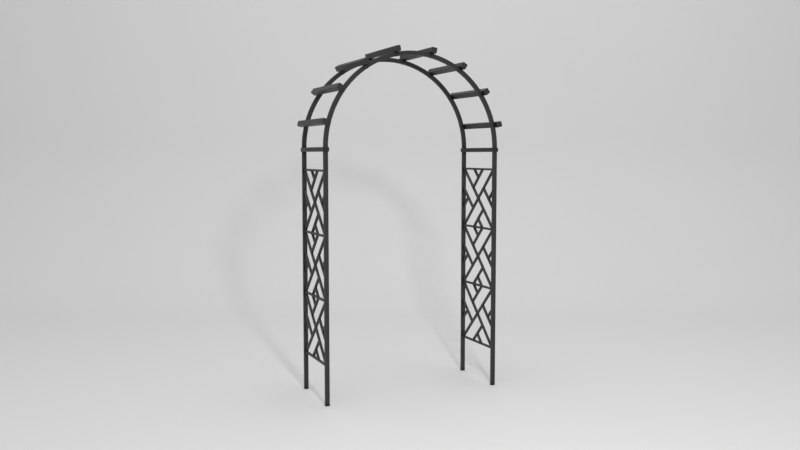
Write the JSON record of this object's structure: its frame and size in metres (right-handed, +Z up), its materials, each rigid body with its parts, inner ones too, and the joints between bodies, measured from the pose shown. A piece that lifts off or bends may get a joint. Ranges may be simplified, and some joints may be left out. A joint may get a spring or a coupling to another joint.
{
  "type": "garden trellis arch",
  "caption": "Free-standing garden arch in dark powder-coated steel, with semicircular rails, box-section cross slats and basket-weave lattice side panels.",
  "frame": {"origin": "on the ground, under the middle of the arch, midway between the four posts", "axes": "+X to the right across the walk-through seen from the front, +Y from front to back along the way through, +Z up"},
  "size_m": [1.3748, 0.554, 2.4579],
  "materials": {
    "frame_tube": "matte charcoal powder coat with a fine orange peel",
    "crossbar": "matte charcoal powder coat with a fine orange peel",
    "lattice_bar": "matte charcoal powder coat over ground welds",
    "slat": "matte charcoal powder coat, lightly weathered on top",
    "slat_screw": "blacked steel, satin",
    "foot_cap": "moulded black plastic",
    "spigot": "zinc plated"
  },
  "bodies": {
    "root": {"post_front_left": "frame_tube", "foot_cap_front_left": "foot_cap", "rail_front_left": "frame_tube", "spring_spigot_front_left": "spigot", "post_back_left": "frame_tube", "foot_cap_back_left": "foot_cap", "rail_back_left": "frame_tube", "spring_spigot_back_left": "spigot", "post_front_right": "frame_tube", "foot_cap_front_right": "foot_cap", "rail_front_right": "frame_tube", "spring_spigot_front_right": "spigot", "post_back_right": "frame_tube", "foot_cap_back_right": "foot_cap", "rail_back_right": "frame_tube", "spring_spigot_back_right": "spigot", "crossbar_left": "crossbar", "panel_bar_left_1": "lattice_bar", "panel_bar_left_2": "lattice_bar", "panel_bar_left_3": "lattice_bar", "panel_bar_left_4": "lattice_bar", "lattice_left_1": "lattice_bar", "lattice_left_2": "lattice_bar", "lattice_left_3": "lattice_bar", "crossbar_right": "crossbar", "panel_bar_right_1": "lattice_bar", "panel_bar_right_2": "lattice_bar", "panel_bar_right_3": "lattice_bar", "panel_bar_right_4": "lattice_bar", "lattice_right_1": "lattice_bar", "lattice_right_2": "lattice_bar", "lattice_right_3": "lattice_bar", "slat_1": "slat", "slat_screw_front_1": "slat_screw", "slat_screw_back_1": "slat_screw", "slat_2": "slat", "slat_screw_front_2": "slat_screw", "slat_screw_back_2": "slat_screw", "slat_3": "slat", "slat_screw_front_3": "slat_screw", "slat_screw_back_3": "slat_screw", "slat_4": "slat", "slat_screw_front_4": "slat_screw", "slat_screw_back_4": "slat_screw", "slat_5": "slat", "slat_screw_front_5": "slat_screw", "slat_screw_back_5": "slat_screw", "slat_6": "slat", "slat_screw_front_6": "slat_screw", "slat_screw_back_6": "slat_screw", "slat_7": "slat", "slat_screw_front_7": "slat_screw", "slat_screw_back_7": "slat_screw", "slat_8": "slat", "slat_screw_front_8": "slat_screw", "slat_screw_back_8": "slat_screw", "apex_spigot_front": "spigot", "apex_spigot_back": "spigot"}
  },
  "joints": []
}
